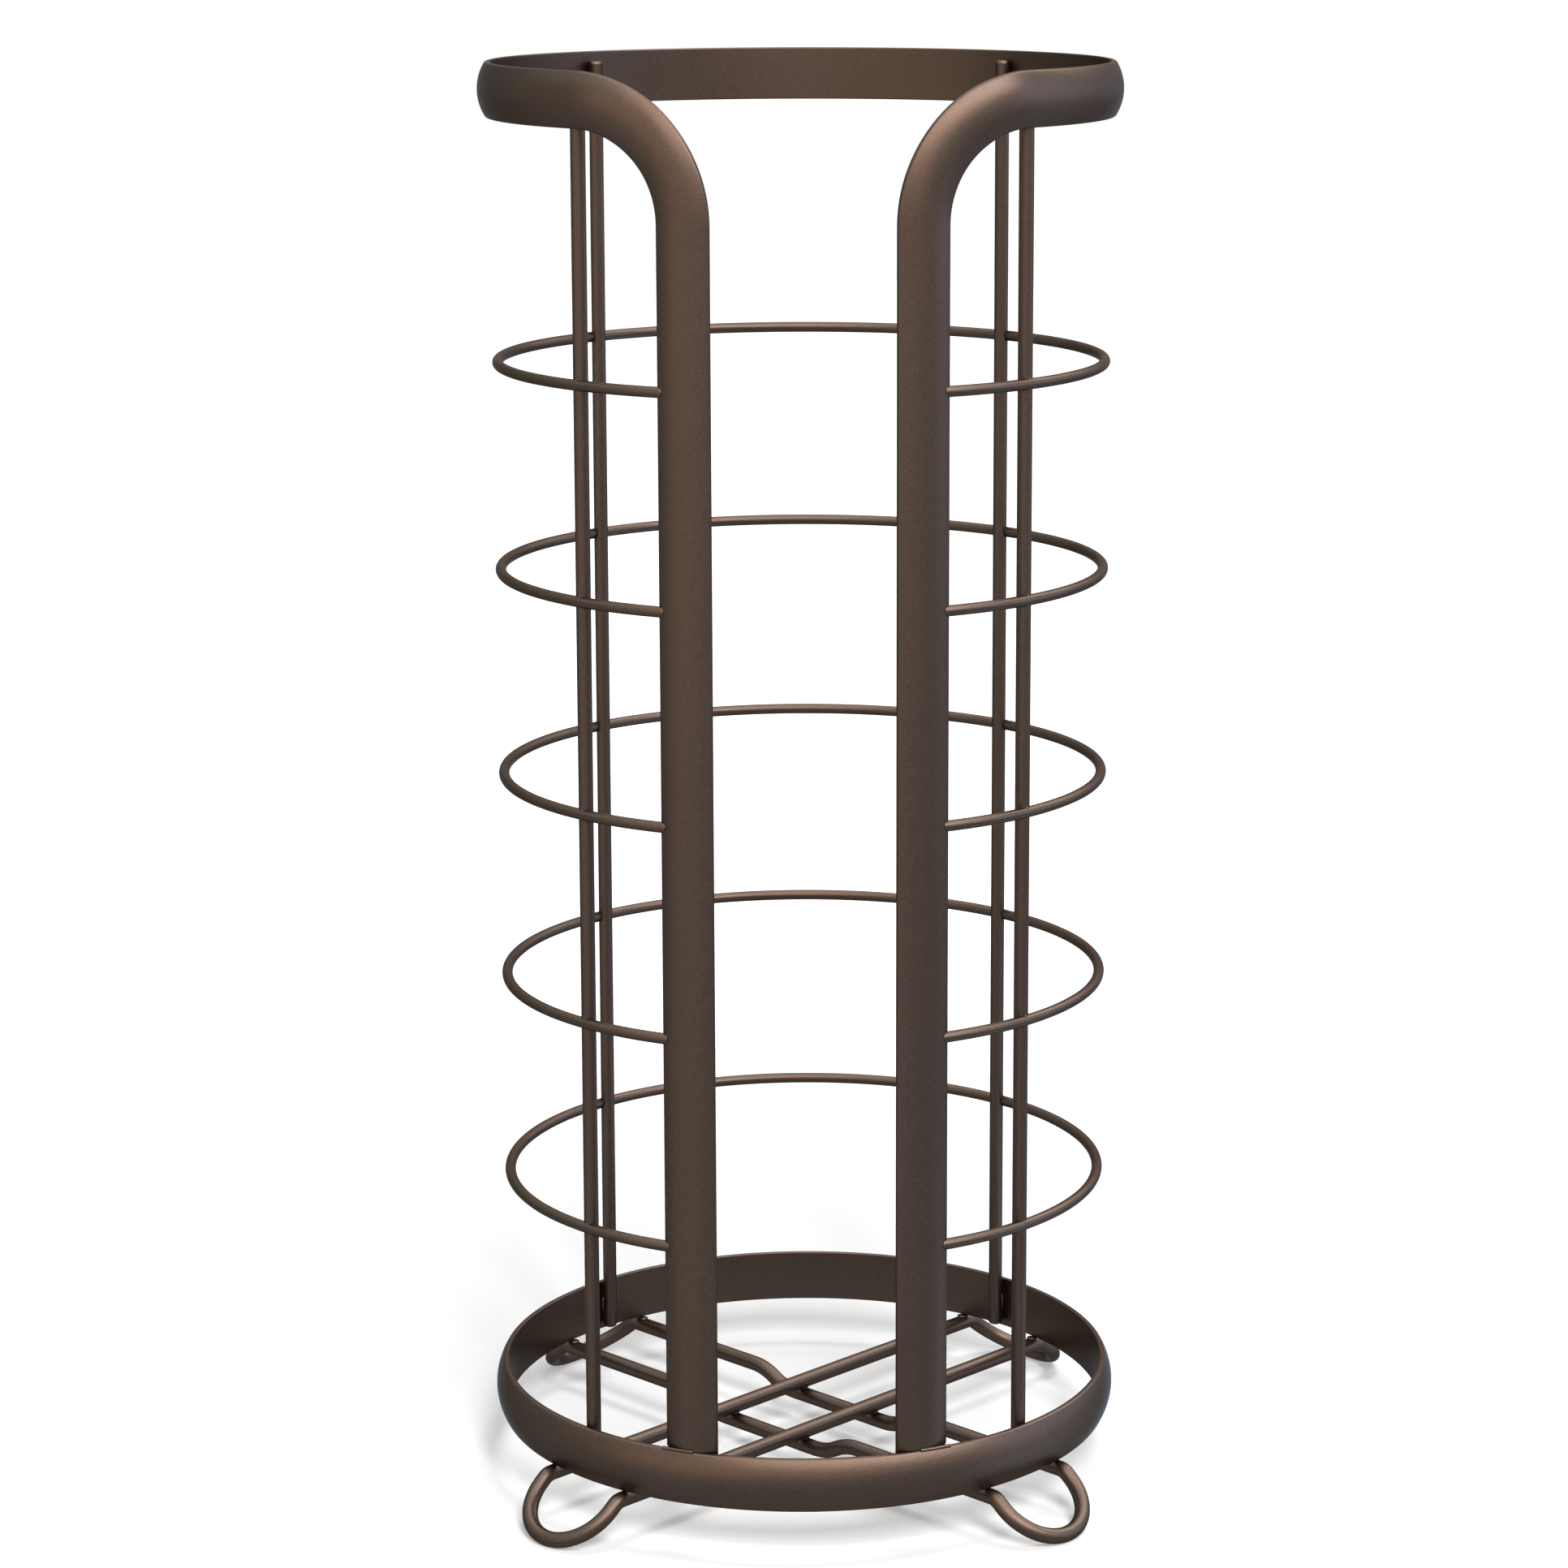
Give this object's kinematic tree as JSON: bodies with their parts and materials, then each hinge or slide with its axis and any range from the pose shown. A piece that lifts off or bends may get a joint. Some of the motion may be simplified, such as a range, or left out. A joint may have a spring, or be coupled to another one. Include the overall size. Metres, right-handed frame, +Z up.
{
  "type": "freestanding toilet paper holder",
  "caption": "Open wire and strip cage that stands on looped wire feet and stores a stack of spare toilet rolls behind a front slot.",
  "frame": {"origin": "on the floor, under the middle of the cage", "axes": "+Z up, -Y towards the open front, +X to the right as seen from the front"},
  "size_m": [0.1598, 0.1598, 0.3597],
  "materials": {
    "bronze_coat": "satin oil-rubbed bronze coating over steel"
  },
  "bodies": {
    "root": {"top_band_with_uprights": "bronze_coat", "base_ring": "bronze_coat", "hoop_1": "bronze_coat", "hoop_2": "bronze_coat", "hoop_3": "bronze_coat", "hoop_4": "bronze_coat", "hoop_5": "bronze_coat", "rod_front_left": "bronze_coat", "rod_front_right": "bronze_coat", "rod_back_left": "bronze_coat", "rod_back_right": "bronze_coat", "foot_wire_upper": "bronze_coat", "foot_wire_lower": "bronze_coat"}
  },
  "joints": []
}
